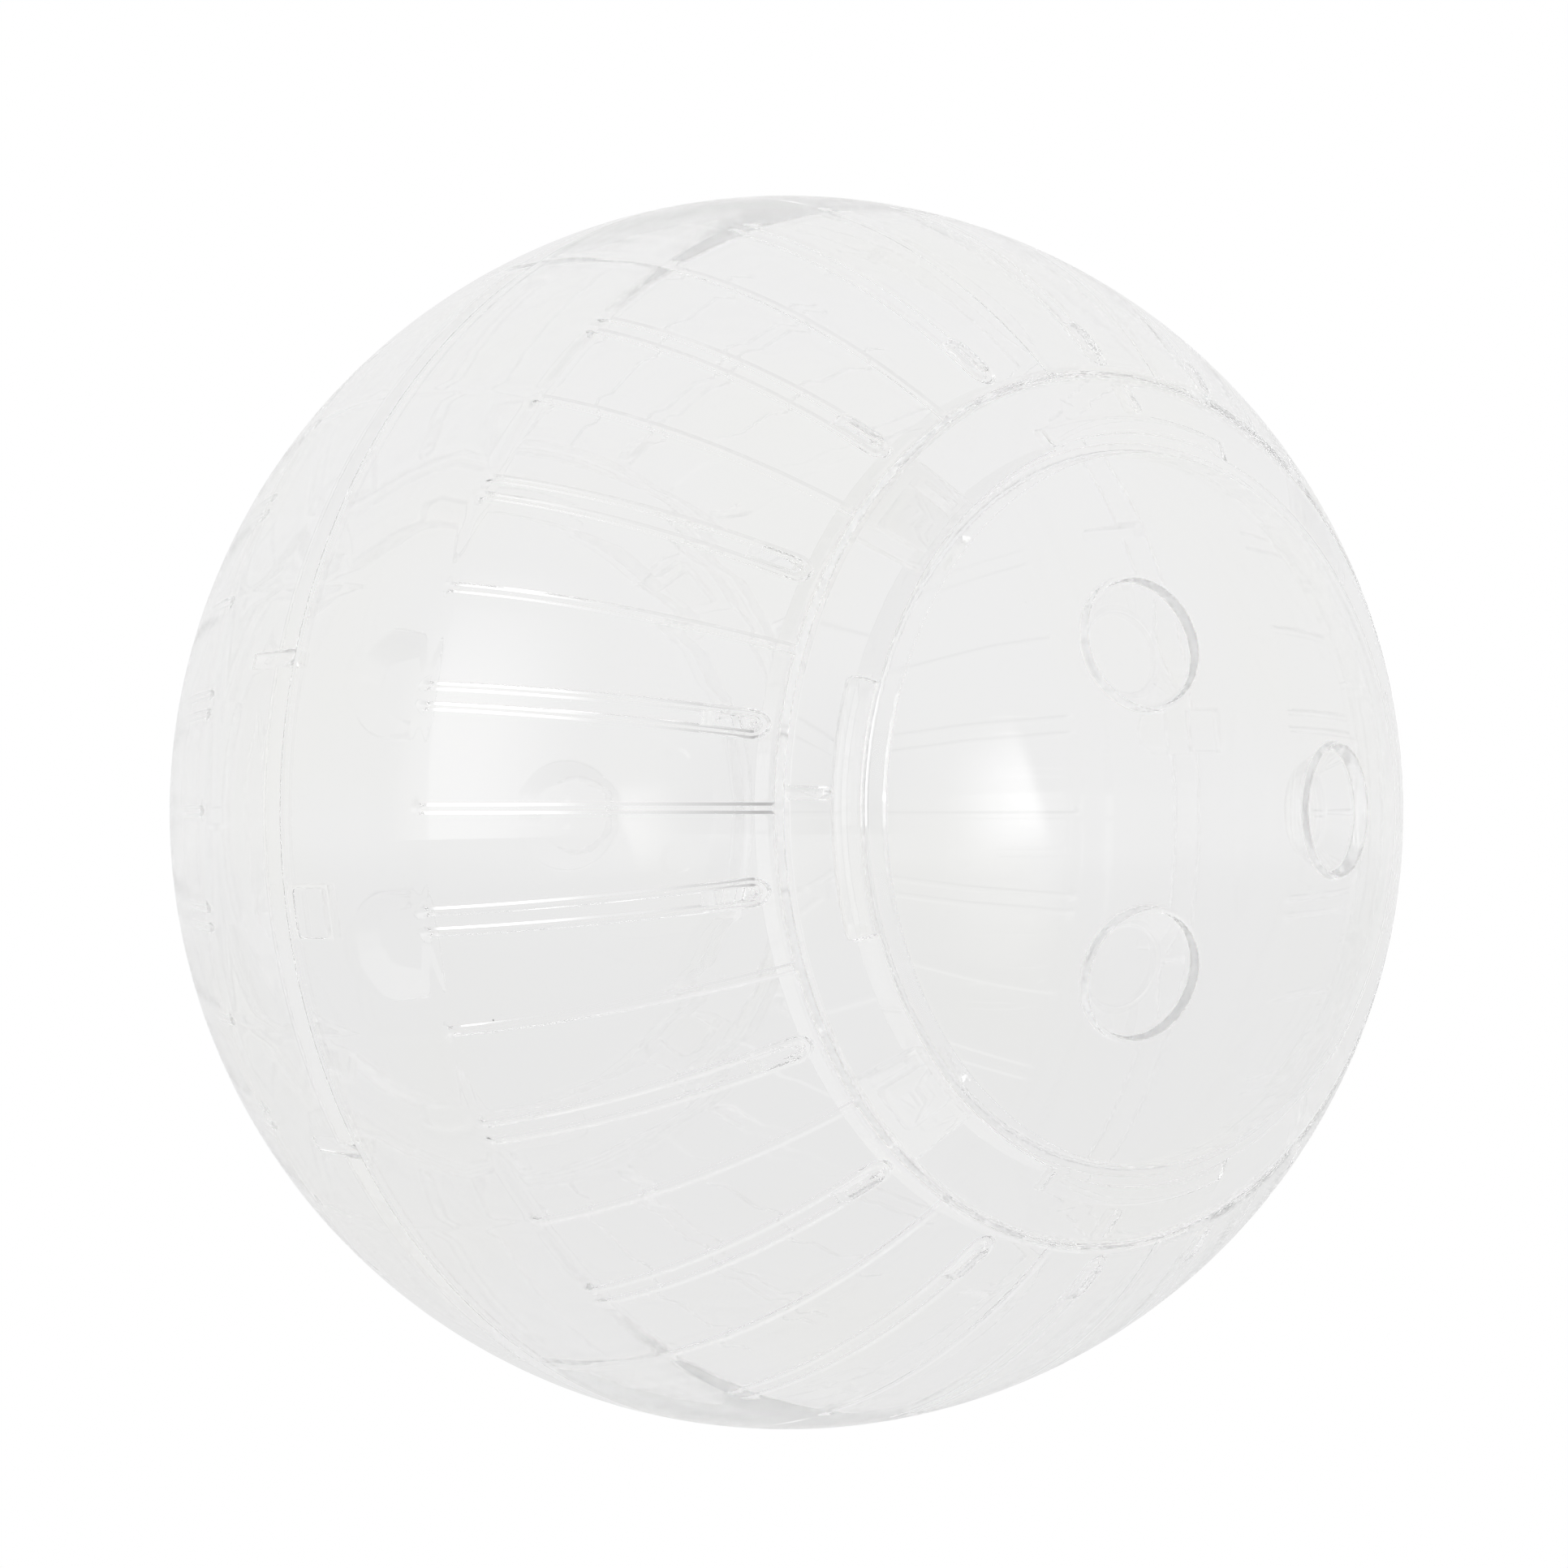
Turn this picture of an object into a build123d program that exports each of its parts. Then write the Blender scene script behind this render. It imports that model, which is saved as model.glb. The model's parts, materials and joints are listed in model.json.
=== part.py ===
from build123d import *
import os
from math import atan2, degrees, hypot, sqrt

# Hamster ball: two clear half shells joined at the middle seam, each with a round door that turns to lock.
# Millimetres, +Z up, with the origin at the centre of the ball. The front door faces -Y and the rear one +Y.
# Each moulding is drawn in its own axes, with the door's axis along +Z and the seam on the XY plane.

# Ball
ball_radius = 89.0
shell_wall = 2.2

# Clearances and working allowances
fit_gap = 0.3
lap_gap = 0.2
bite = 0.5
overrun = 2.0
same_distance = 0.0001

# Belt and ribbed panel
belt_half_width = 24.8
panel_recess = 0.7
rib_count = 18
rib_width = 1.0
hairpin_width = 3.5
hairpin_rail = 0.8
hairpin_gap = 0.2
vent_length = 4.3
rib_drop = 0.1

# Door seat in the half shell
rim_radius = 59.3
rim_width = 0.9
seat_width = 1.7
seat_thickness = 1.5
claw_count = 4
claw_reach = 7.5
claw_angle = 15.0
stop_wall = 1.6

# Door
skirt_wall = 2.0
skirt_foot = 0.6
lug_angle = 8.0
lug_reach = 4.6
lug_thickness = 1.7
pad_angle = 38.0
pad_width = 2.9
pad_corner = 1.4
centring_rib_width = 1.9
centring_rib_length = 3.9
centring_rib_angle = -2.0
cup_count = 3
cup_circle_radius = 26.3
cup_mouth_radius = 9.3
cup_floor_radius = 5.8
cup_depth = 4.8
cup_wall = 1.8

# Seam between the halves
lip_length = 4.6
lip_wall = 0.9
tongue_count = 4
tongue_angle = 9.0
tongue_width = 7.3
tongue_reach = 10.0
tongue_wall = 1.2
tongue_root = 7.0
key_spread = 22.3
key_width = 2.2
key_reach = 11.6
key_height = 1.5

# Worked out from the sizes above
inner_radius = ball_radius - shell_wall
panel_radius = inner_radius + panel_recess
rib_radius = inner_radius + rib_drop
rib_pitch = 360 / rib_count
vent_width = hairpin_width - 2 * hairpin_rail
door_recess_radius = rim_radius - rim_width
mouth_radius = door_recess_radius - seat_width
claw_tip_radius = mouth_radius - claw_reach
seat_top = inner_radius - fit_gap
seat_bottom = seat_top - seat_thickness
claw_pitch = 360 / claw_count
lug_top = seat_bottom - fit_gap
lug_bottom = lug_top - lug_thickness
door_radius = door_recess_radius - fit_gap
skirt_radius = claw_tip_radius - fit_gap
lug_tip_radius = skirt_radius + lug_reach
lip_radius = inner_radius + lip_wall
rebate_radius = lip_radius + lap_gap
rebate_depth = lip_length + lap_gap

FRONT = Plane(origin=(0, 0, 0), x_dir=(-1, 0, 0), z_dir=(0, -1, 0))
REAR = Plane(origin=(0, 0, 0), x_dir=(-1, 0, 0), z_dir=(0, 1, 0))


def on_sphere(radius, plan_radius):
    """Profile point on a sphere about the ball's centre, at a distance from the door's axis."""
    return (plan_radius, sqrt(radius**2 - plan_radius**2))


def at_height(radius, height):
    """Profile point on a sphere about the ball's centre, at a height above the seam."""
    return (sqrt(radius**2 - height**2), height)


def profile_edge(start, end):
    """An arc about the ball's centre where both points lie on one sphere, and otherwise a straight line."""
    radius = hypot(*start)
    if abs(radius - hypot(*end)) > same_distance:
        return Line(start, end)
    first = degrees(atan2(start[1], start[0]))
    last = degrees(atan2(end[1], end[0]))
    return CenterArc((0, 0), radius, first, last - first)


def turned(points, sweep=360, middle=0):
    """The closed profile turned about the door's axis, whole or as a segment about the middle angle."""
    edges = [profile_edge(a, b) for a, b in zip(points, points[1:] + points[:1])]
    solid = revolve(Plane.XZ * make_face(edges), Axis.Z, sweep)
    return Rot(0, 0, middle - sweep / 2) * solid


def layer(outer, inner, low_radius, high_radius):
    """Profile between two spheres, and between two distances from the door's axis."""
    return [
        on_sphere(outer, low_radius),
        on_sphere(outer, high_radius),
        on_sphere(inner, high_radius),
        on_sphere(inner, low_radius),
    ]


def around(solid, count, start=0):
    """Copies of a solid, evenly spaced about the door's axis."""
    return [place * solid for place in PolarLocations(0, count, start)]


def arc_width(width, radius):
    """The angle that a width takes up at a distance from the door's axis."""
    return degrees(width / radius)


def round_ended_strip(width, start, end):
    """Plan of a strip along X whose near end is round."""
    straight = start + width / 2
    strip = Pos((straight + end) / 2, 0) * Rectangle(end - straight, width)
    return strip + Pos(straight, 0) * Circle(width / 2)


def rib_bars():
    """The raised lines inside the panel, seen along the door's axis: single ribs, and hairpins between them."""
    near = rim_radius - bite
    rib = Pos((near + ball_radius) / 2, 0) * Rectangle(ball_radius - near, rib_width)
    start = rim_radius + hairpin_gap
    hairpin = round_ended_strip(hairpin_width, start, ball_radius)
    hairpin -= round_ended_strip(vent_width, start + hairpin_rail, ball_radius + overrun)
    plan = around(rib, rib_count) + around(hairpin, rib_count, rib_pitch / 2)
    return [extrude(shape, ball_radius + overrun) for shape in plan]


def panel_pockets():
    """The sunk fields on the inside, between the belt and the door rim, with the ribs left standing."""
    clear = inner_radius - overrun
    field = turned([
        on_sphere(clear, rim_radius),
        on_sphere(panel_radius, rim_radius),
        at_height(panel_radius, belt_half_width),
        at_height(clear, belt_half_width),
    ])
    return field - rib_bars()


def vents():
    """Air slots through the wall at the door end of each hairpin."""
    start = rim_radius + hairpin_gap + hairpin_rail
    slot = extrude(round_ended_strip(vent_width, start, start + vent_length), ball_radius)
    return around(slot, rib_count, rib_pitch / 2)


def mouth_windows():
    """What is cut from the seat ring between the claws, so that the door's lugs can pass."""
    inside = claw_tip_radius - overrun
    outline = [(inside, 0), (mouth_radius, 0), (mouth_radius, ball_radius), (inside, ball_radius)]
    return around(turned(outline, claw_pitch - claw_angle), claw_count)


def lug_stops():
    """Walls under one end of the claws, where the door's lugs stop when it is locked."""
    inside = claw_tip_radius + bite
    room = lug_angle / 2 + arc_width(fit_gap, inside)
    sweep = arc_width(stop_wall, inside)
    section = layer(seat_bottom + bite, lug_bottom, inside, lug_tip_radius)
    return around(turned(section, sweep, -room - sweep / 2), claw_count, claw_pitch / 2)


def half_shell(seam):
    """A half of the ball, from the outline of its seam: belt, ribbed panel, vents, door rim and claws."""
    outline = seam + [
        on_sphere(ball_radius, door_recess_radius),
        on_sphere(seat_top, door_recess_radius),
        on_sphere(seat_top, claw_tip_radius),
        on_sphere(seat_bottom, claw_tip_radius),
        on_sphere(seat_bottom, rim_radius),
        on_sphere(rib_radius, rim_radius),
        at_height(rib_radius, belt_half_width),
        at_height(inner_radius, belt_half_width),
    ]
    shell = turned(outline) - panel_pockets() - vents() - mouth_windows()
    return shell + lug_stops()


def tongues():
    """Round-ended snap tongues that reach past the seam, each on a root on the inside of the wall."""
    outside = sqrt((inner_radius - fit_gap) ** 2 - tongue_reach**2 - (tongue_width / 2) ** 2)
    face = Plane(origin=(outside - tongue_wall, 0, 0), x_dir=(0, 1, 0), z_dir=(1, 0, 0))
    straight = tongue_width / 2 - tongue_reach
    blade = Pos(0, (straight + tongue_root) / 2) * Rectangle(tongue_width, tongue_root - straight)
    blade += Pos(0, straight) * Circle(tongue_width / 2)
    root = Pos(0, (tongue_root + lap_gap) / 2) * Rectangle(tongue_width, tongue_root - lap_gap)
    tongue = extrude(face * blade, tongue_wall)
    tongue += extrude(face * root, inner_radius + bite - outside + tongue_wall)
    return around(tongue, tongue_count, tongue_angle)


def key_places(middle):
    """The angles of the keys, a pair to each tongue."""
    pitch = 360 / tongue_count
    return [middle + pitch * k + side * key_spread for k in range(tongue_count) for side in (-1, 1)]


def key_notches():
    """Gaps in the lap lip that the keys slide into."""
    width = arc_width(key_width + 2 * fit_gap, inner_radius)
    low = -lip_length - overrun
    inside = inner_radius - overrun
    gap = [(inside, low), (rebate_radius, low), (rebate_radius, 0), (inside, 0)]
    return [turned(gap, width, angle) for angle in key_places(tongue_angle)]


def keys():
    """Short ribs across the rebate, which line the two halves up."""
    inside = inner_radius - key_height
    outline = [
        (inside, lap_gap),
        (rebate_radius + bite, lap_gap),
        (rebate_radius + bite, rebate_depth),
        at_height(inner_radius + bite, key_reach),
        (inside, key_reach),
    ]
    width = arc_width(key_width, inner_radius)
    return [turned(outline, width, angle) for angle in key_places(-tongue_angle)]


def front_half_shell():
    lip = [(inner_radius, 0), (inner_radius, -lip_length), (lip_radius, -lip_length), (lip_radius, 0)]
    shell = half_shell(lip + [(ball_radius, 0)])
    return shell - key_notches() + tongues()


def rear_half_shell():
    rebate = [at_height(inner_radius, rebate_depth), (rebate_radius, rebate_depth), (rebate_radius, 0)]
    return half_shell(rebate + [(ball_radius, 0)]) + keys()


def pads():
    """Round-cornered pads beside the skirt, whose ends meet the claws when the door is fully unlocked."""
    outside = skirt_radius + pad_width
    pad = turned(layer(inner_radius + bite, seat_bottom, skirt_radius - bite, outside), pad_angle)
    upright = pad.edges().filter_by(Axis.Z)
    corners = upright.sort_by(lambda edge: hypot(edge.center().X, edge.center().Y))[-2:]
    return around(fillet(corners, pad_corner), claw_count)


def lugs():
    """Lugs at the foot of the skirt, which turn in under the claws."""
    lug = turned(layer(lug_top, lug_bottom, skirt_radius - bite, lug_tip_radius), lug_angle)
    return around(lug, claw_count, claw_pitch / 2)


def centring_ribs():
    """Small ribs under the edge of the dome, which keep the door central in the mouth."""
    outside = mouth_radius - fit_gap
    section = layer(inner_radius + bite, seat_bottom, outside - centring_rib_length, outside)
    rib = turned(section, arc_width(centring_rib_width, outside))
    return around(rib, claw_count, centring_rib_angle)


def cup_cone(low, low_radius, high, high_radius):
    """Tapered round form square to the dome, between two distances from the ball's centre."""
    middle = on_sphere(ball_radius, cup_circle_radius)
    tilt = degrees(atan2(*middle))
    cone = Cone(low_radius, high_radius, high - low, align=(Align.CENTER, Align.CENTER, Align.MIN))
    return Rot(0, tilt, 0) * Pos(0, 0, low) * cone


def cup_floor():
    """The distance of a finger cup's floor from the ball's centre."""
    return sqrt(ball_radius**2 - cup_mouth_radius**2) - cup_depth


def cup_skins():
    """The walls of the finger cups, under the dome."""
    low = cup_floor() - cup_wall
    return around(
        cup_cone(low, cup_floor_radius + cup_wall, inner_radius + bite, cup_mouth_radius + cup_wall),
        cup_count,
        180 / cup_count,
    )


def cup_hollows():
    """The dishes that take a fingertip each."""
    low = cup_floor()
    high = ball_radius + overrun
    taper = (cup_mouth_radius - cup_floor_radius) / cup_depth
    hollow = cup_cone(low, cup_floor_radius, high, cup_floor_radius + taper * (high - low))
    return around(hollow, cup_count, 180 / cup_count)


def ball(radius):
    """A whole ball, with its poles and its seam away from the doors."""
    return Sphere(radius, rotation=(0, 90, 0))


def door():
    """The round door: dome, skirt ring, pads, lugs, centring ribs and finger cups."""
    blank = Cylinder(door_radius, ball_radius, align=(Align.CENTER, Align.CENTER, Align.MIN))
    dome = (blank & ball(ball_radius)) - ball(inner_radius)
    foot = lug_bottom - skirt_foot
    skirt = turned(layer(inner_radius + bite, foot, skirt_radius - skirt_wall, skirt_radius))
    return dome + skirt + pads() + lugs() + centring_ribs() + cup_skins() - cup_hollows()


one_door = door()
nodes = {
    "front_half_shell": FRONT * front_half_shell(),
    "rear_half_shell": REAR * rear_half_shell(),
    "front_door": FRONT * one_door,
    "rear_door": REAR * one_door,
}
os.makedirs("parts", exist_ok=True)
for name, solid in nodes.items():
    export_step(solid, f"parts/{name}.step")
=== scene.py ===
import json
import math
from collections import namedtuple

import bmesh
import bpy
from bpy.props import FloatProperty, FloatVectorProperty, IntProperty, PointerProperty
from mathutils import Matrix, Vector

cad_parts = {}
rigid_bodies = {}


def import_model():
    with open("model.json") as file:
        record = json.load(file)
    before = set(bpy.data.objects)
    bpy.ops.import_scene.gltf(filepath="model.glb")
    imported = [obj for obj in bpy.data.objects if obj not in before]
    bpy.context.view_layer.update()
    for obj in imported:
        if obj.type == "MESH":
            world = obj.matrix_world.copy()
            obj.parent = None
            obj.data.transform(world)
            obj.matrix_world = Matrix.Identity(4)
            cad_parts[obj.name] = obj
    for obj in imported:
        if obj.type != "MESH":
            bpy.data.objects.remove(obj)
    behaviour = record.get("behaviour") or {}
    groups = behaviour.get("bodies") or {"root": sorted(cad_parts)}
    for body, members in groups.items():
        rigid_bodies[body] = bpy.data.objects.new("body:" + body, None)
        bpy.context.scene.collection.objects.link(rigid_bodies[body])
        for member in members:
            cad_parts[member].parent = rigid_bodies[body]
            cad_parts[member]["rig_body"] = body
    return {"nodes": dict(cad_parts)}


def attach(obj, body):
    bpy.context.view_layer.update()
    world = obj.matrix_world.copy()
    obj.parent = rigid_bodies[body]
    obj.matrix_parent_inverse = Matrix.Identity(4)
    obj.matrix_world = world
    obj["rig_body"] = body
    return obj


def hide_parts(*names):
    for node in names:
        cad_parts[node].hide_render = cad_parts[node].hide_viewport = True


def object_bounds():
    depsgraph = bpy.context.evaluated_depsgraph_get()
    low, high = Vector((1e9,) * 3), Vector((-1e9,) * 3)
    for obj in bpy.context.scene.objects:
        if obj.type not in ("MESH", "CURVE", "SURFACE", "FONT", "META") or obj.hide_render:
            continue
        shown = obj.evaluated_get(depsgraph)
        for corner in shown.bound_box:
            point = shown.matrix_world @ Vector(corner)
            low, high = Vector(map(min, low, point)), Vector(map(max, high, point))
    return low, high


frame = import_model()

bl_info = {
    "name": "Clear Hamster Ball",
    "version": (1, 0, 0),
    "blender": (4, 5, 0),
    "location": "View3D > Sidebar > Hamster Ball",
    "description": "Clear ribbed half shells and turn-lock doors, built around the packed frame",
    "category": "Object",
}

CAD_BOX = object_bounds()
BALL_RADIUS = (CAD_BOX[1].x - CAD_BOX[0].x) / 2
PICTURE_SIDE = 1932
LIGHT_BOUNCES = 64
WELD = 2e-6

# Each moulding is drawn with the door's axis along Z and the seam on the XY plane, then turned to its side.
FRONT = Matrix(((-1, 0, 0), (0, 0, -1), (0, -1, 0))).to_4x4()
REAR = Matrix(((-1, 0, 0), (0, 0, 1), (0, 1, 0))).to_4x4()


def length(name, description, default):
    """A size property in metres."""
    return FloatProperty(name=name, description=description, default=default, precision=5, unit="LENGTH")


def angle(name, description, degrees):
    """An angle property, given here in degrees."""
    return FloatProperty(name=name, description=description, default=math.radians(degrees), subtype="ANGLE")


def factor(name, description, default):
    """A share from nothing to all."""
    return FloatProperty(name=name, description=description, default=default, min=0, max=1, subtype="FACTOR")


def light(name, description, default):
    """A brightness, where 1 is white paper."""
    return FloatProperty(name=name, description=description, default=default, min=0)


def colour(name, description, default):
    """A colour without alpha."""
    return FloatVectorProperty(name=name, description=description, default=default, size=3, subtype="COLOR")


class ShellSizes(bpy.types.PropertyGroup):
    """Sizes of a half shell"""

    ball_radius: length("Ball radius", "Outside of the ball", BALL_RADIUS)
    inner_radius: length("Inner radius", "Inside of the belt at the seam", 0.0868)
    panel_radius: length("Panel radius", "Inside of the thinner wall between the ribs", 0.0873)
    rib_height: length("Rib height", "Height of ribs and hairpins above the field", 0.0004)
    rib_width: length("Rib width", "Width of a single rib, half way up", 0.00105)
    rib_slope: length("Rib slope", "Half the width over which a rib's side rises", 0.0002)
    web_height: length("Web height", "Swelling of the thin wall at the foot of a rib", 0.00005)
    web_width: length("Web width", "Width over which that swelling runs out", 0.0035)
    hairpin_width: length("Hairpin width", "Outside width of a hairpin", 0.0035)
    hairpin_rail: length("Hairpin rail", "Width of each of its two rails", 0.0008)
    hairpin_centre: length("Hairpin centre", "Distance of its round end's centre from the door axis", 0.0623)
    vent_length: length("Vent length", "Length of the air slot, seen along the door axis", 0.0040)
    belt_half_width: length("Belt half width", "Height of the belt's edge above the seam", 0.0248)
    belt_edge: length("Belt edge", "Half the width of the slope from the belt to the field", 0.002)
    belt_draft: factor("Belt draft", "Share of its extra thickness lost from seam to edge", 0.5)
    rib_end: length("Rib end", "Half the length over which a rib runs out at the belt", 0.0008)
    hairpin_end: length("Hairpin end", "How far a hairpin runs on over the belt", 0.0004)
    belt_line: length("Belt line", "Height of the faint line that runs on from each rib", 0.00003)
    seam_gap: length("Seam gap", "Half the gap between the two halves", 0.00002)
    seam_edge: length("Seam edge", "Rounding of the outer edge at the seam", 0.00009)
    rim_radius: length("Rim radius", "Outer edge of the rim round the door", 0.0592)
    rim_wall: length("Rim wall", "Wall inside the rim, where the ribs end", 0.0590)
    recess_radius: length("Recess radius", "Wall that the door drops into", 0.0584)
    mouth_radius: length("Mouth radius", "Free opening between the claws", 0.0567)
    claw_tip_radius: length("Claw tip radius", "Free opening at the claws", 0.0492)
    seat_top: length("Seat top", "Ledge under the door, from the ball's centre", 0.0865)
    seat_bottom: length("Seat bottom", "Underside of the ledge, from the ball's centre", 0.0850)
    corner_round: length("Corner round", "Rounding of the moulded corners", 0.00025)
    lip_radius: length("Lip radius", "Outside of the lap lip on the front half", 0.0877)
    lip_length: length("Lip length", "Reach of the lap lip past the seam", 0.0046)
    rebate_radius: length("Rebate radius", "Inside of the rear half's rebate", 0.0879)
    rebate_depth: length("Rebate depth", "Depth of the rear half's rebate", 0.0048)
    tongue_inside: length("Tongue inside", "Inner face of the snap tongues, from the door axis", 0.08464)
    tongue_wall: length("Tongue wall", "Thickness of the snap tongues", 0.0012)
    tongue_width: length("Tongue width", "Width of the snap tongues", 0.0073)
    tongue_reach: length("Tongue reach", "Reach of the snap tongues past the seam", 0.010)
    tongue_root: length("Tongue root", "Height of the block that joins a tongue to the wall", 0.007)
    key_inside: length("Key inside", "Inner face of the keys in the rear half", 0.0853)
    key_outside: length("Key outside", "Outer face of the keys, in the rebate's wall", 0.0884)
    key_height: length("Key height", "Height of the keys above the seam", 0.0116)


class DoorSizes(bpy.types.PropertyGroup):
    """Sizes of a door"""

    door_radius: length("Door radius", "Edge of the door", 0.0581)
    skirt_radius: length("Skirt radius", "Outside of the ring under the dome", 0.0489)
    skirt_inside: length("Skirt inside", "Inside of the ring under the dome", 0.0469)
    skirt_foot: length("Skirt foot", "Foot of the ring, from the ball's centre", 0.0824)
    lug_tip_radius: length("Lug tip radius", "Reach of the lugs from the door axis", 0.0535)
    lug_top: length("Lug top", "Upper face of the lugs, from the ball's centre", 0.0847)
    lug_bottom: length("Lug bottom", "Lower face of the lugs, from the ball's centre", 0.0830)
    pad_radius: length("Pad radius", "Outer edge of the pads beside the skirt", 0.0518)
    rib_outside: length("Centring rib outside", "Outer end of the centring ribs", 0.0564)
    rib_inside: length("Centring rib inside", "Inner end of the centring ribs", 0.0525)
    rib_width: length("Centring rib width", "Thickness of the centring ribs", 0.0019)
    cup_circle: length("Cup circle", "Distance of the finger cups from the door axis", 0.0251)
    cup_mouth: length("Cup mouth", "Radius of a finger cup at its lip", 0.0088)
    cup_floor: length("Cup floor", "Radius of a finger cup at its floor", 0.0056)
    cup_depth: length("Cup depth", "Depth of a finger cup below its lip", 0.0048)
    cup_wall: length("Cup wall", "Thickness of the cup's wall and floor", 0.0014)
    cup_lip: length("Cup lip", "Rounding of the cup's lip", 0.0007)
    corner_round: length("Corner round", "Rounding of the moulded corners", 0.0003)


class PlasticFinish(bpy.types.PropertyGroup):
    """Look of the clear plastic"""

    tint: colour("Tint", "Light that passes each surface", (0.998, 0.998, 0.997))
    refraction: FloatProperty(name="Refraction", description="Index of refraction", default=1.59)
    roughness: factor("Roughness", "Polish of the surface", 0.03)
    stain: colour("Stain", "The same where the plastic is faintly yellow", (0.998, 0.998, 0.988))
    stain_size: length("Stain size", "Size of the faintly yellow areas", 0.035)
    ripple_size: length("Ripple size", "Spacing of the faint waves left by moulding", 0.014)
    ripple_height: length("Ripple height", "Height of those waves", 0.000006)
    scratch_size: length("Scratch size", "Spacing of the hairline scratches", 0.0012)
    speck_spacing: length("Speck spacing", "Spacing of the tiny specks in the wall", 0.017)
    speck_size: length("Speck size", "Radius of a speck", 0.0002)
    caught_light: IntProperty(
        name="Caught light", description="Bounces after which caught light leaves the wall", default=5
    )
    far_clearness: factor("Far clearness", "Share of light that leaves the far walls straight", 0.88)


class StageSettings(bpy.types.PropertyGroup):
    """Camera and light"""

    yaw: angle("Yaw", "How far the camera stands to the left of the front door", 41)
    pitch: angle("Pitch", "How far the camera looks down", -0.35)
    camera_distance: length("Camera distance", "From the ball's centre to the camera", 0.654)
    lens: FloatProperty(name="Lens", description="Focal length on a 36 mm sensor", default=103.1)
    ball_right: IntProperty(name="Ball right", description="Picture points right of centre", default=3)
    ball_down: IntProperty(name="Ball down", description="Picture points below centre", default=35)
    paper_light: light("Paper light", "White that the camera sees round the ball", 1.0)
    horizon_light: light("Horizon light", "Brightness of the room at eye level", 0.857)
    sky_light: light("Sky light", "Brightness of the room above", 0.87)
    floor_light: light("Floor light", "Brightness of the floor by the ball", 0.806)
    left_light: light("Left light", "Brightness of the soft light on the left", 1.57)
    right_light: light("Right light", "Brightness of the light on the right", 2.1)
    camera_side: light("Camera side", "Brightness of the room behind the camera", 0.47)


class BallSettings(bpy.types.PropertyGroup):
    """All settings of the ball"""

    shell: PointerProperty(type=ShellSizes)
    door: PointerProperty(type=DoorSizes)
    plastic: PointerProperty(type=PlasticFinish)
    stage: PointerProperty(type=StageSettings)


# Shapes

RIB_COUNT = 18
SIDE_STEPS = 6
CORNER_STEPS = 4
TRUE_FACE = math.radians(14)
SHARP_EDGE = math.radians(35)
NEAR_RADIUS = 0.000008
BLOCK_STEP = math.radians(3)
BLOCK_BEVEL_STEPS = 2
OUTLINE_STEPS = 16
LOCK_COUNT = 4
BITE = 0.0004


def on_sphere(radius, plan):
    """Profile point at a distance from the door's axis, on a sphere about the ball's centre."""
    return Vector((plan, math.sqrt(radius**2 - plan**2)))


def turned(point, azimuth):
    """A profile point turned about the door's axis."""
    return Vector((point.x * math.cos(azimuth), point.x * math.sin(azimuth), point.y))


def scaled(point, radius):
    """A profile point moved along its direction to another radius."""
    return point.normalized() * radius


def rounded(corners, radius):
    """The profile with an arc in place of each corner between its ends."""
    points = [corners[0]]
    for before, corner, after in zip(corners, corners[1:], corners[2:]):
        back = (before - corner).normalized()
        ahead = (after - corner).normalized()
        half = back.angle(ahead) / 2
        centre = corner + (back + ahead).normalized() * (radius / math.sin(half))
        first = corner + back * (radius / math.tan(half)) - centre
        last = corner + ahead * (radius / math.tan(half)) - centre
        points += [centre + first.slerp(last, share).normalized() * radius for share in spread(0, 1, CORNER_STEPS)]
    return points + [corners[-1]]


def spread(start, end, steps):
    """Evenly spaced values from start to end."""
    return [start + (end - start) * k / steps for k in range(steps + 1)]


def swell(distance, edge):
    """One inside an outline and nothing outside it, with a soft rise over the edge's width."""
    share = min(max((distance + edge) / (2 * edge), 0), 1)
    return (1 + math.cos(math.pi * share)) / 2


def straight(distance, edge):
    """One inside an outline and nothing outside it, with a straight slope over the edge's width."""
    return min(max((edge - distance) / (2 * edge), 0), 1)


def skin(bm, rows):
    """A surface through rows of points: the first row is extruded to each next one."""
    verts = [bm.verts.new(point) for point in rows[0]]
    edges = [bm.edges.new(pair) for pair in zip(verts, verts[1:])]
    for row in rows[1:]:
        made = bmesh.ops.extrude_edge_only(bm, edges=edges)["geom"]
        fresh = {item for item in made if isinstance(item, bmesh.types.BMVert)}
        edges = [item for item in made if isinstance(item, bmesh.types.BMEdge)]
        verts = [next(e.other_vert(v) for e in v.link_edges if e.other_vert(v) in fresh) for v in verts]
        for vert, point in zip(verts, row):
            vert.co = point


def repeat_round(bm, count):
    """The wedge and its mirror image, repeated about the door's axis and welded."""
    everything = bm.verts[:] + bm.edges[:] + bm.faces[:]
    bmesh.ops.mirror(bm, geom=everything, matrix=Matrix.Identity(4), merge_dist=WELD, axis="Y")
    everything = bm.verts[:] + bm.edges[:] + bm.faces[:]
    bmesh.ops.spin(
        bm,
        geom=everything,
        angle=math.tau * (count - 1) / count,
        steps=count - 1,
        axis=(0, 0, 1),
        cent=(0, 0, 0),
        use_duplicate=True,
    )
    bmesh.ops.remove_doubles(bm, verts=bm.verts, dist=WELD)


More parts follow.
